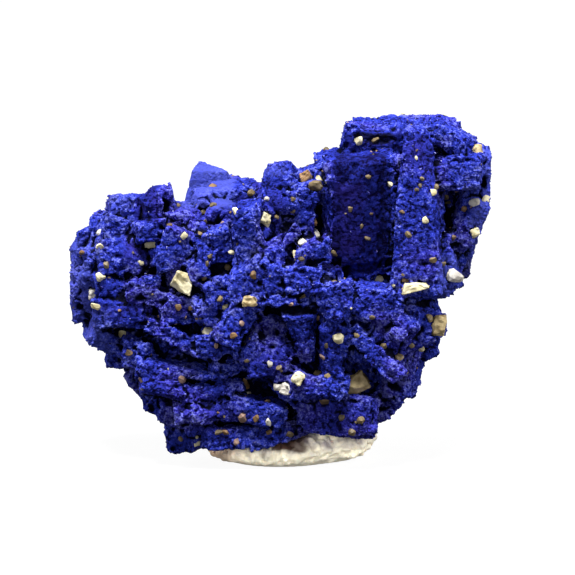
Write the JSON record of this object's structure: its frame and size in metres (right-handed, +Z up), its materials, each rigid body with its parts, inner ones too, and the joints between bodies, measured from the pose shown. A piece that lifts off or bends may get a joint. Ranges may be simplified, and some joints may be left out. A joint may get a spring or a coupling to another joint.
{
  "type": "azurite specimen",
  "caption": "Deep blue cluster of flat-faced azurite crystals with grains of pale sand, standing on a small flat pale base.",
  "frame": {"origin": "middle of the bounding box in X and Y, at the level of the base's flat underside", "axes": "+X to the right and +Y away from a viewer who faces the show side, +Z up"},
  "size_m": [0.0421, 0.0245, 0.0346],
  "materials": {
    "azurite": "natural azurite, sugary granular crystal faces, deep ultramarine with violet-black facets",
    "pale_base": "pale cream lump, matt, stained peach and brown",
    "sand": "natural sand grains, cream to ochre, partly see-through"
  },
  "bodies": {
    "root": {"azurite_cluster": "azurite", "pale_base": "pale_base", "sand_grain_01": "sand", "sand_grain_02": "sand", "sand_grain_03": "sand", "sand_grain_04": "sand", "sand_grain_05": "sand", "sand_grain_06": "sand", "sand_grain_07": "sand", "sand_grain_08": "sand", "sand_grain_09": "sand", "sand_grain_10": "sand", "sand_grain_11": "sand", "sand_grain_12": "sand", "sand_grain_13": "sand", "sand_grain_14": "sand", "sand_grain_15": "sand"}
  },
  "joints": []
}
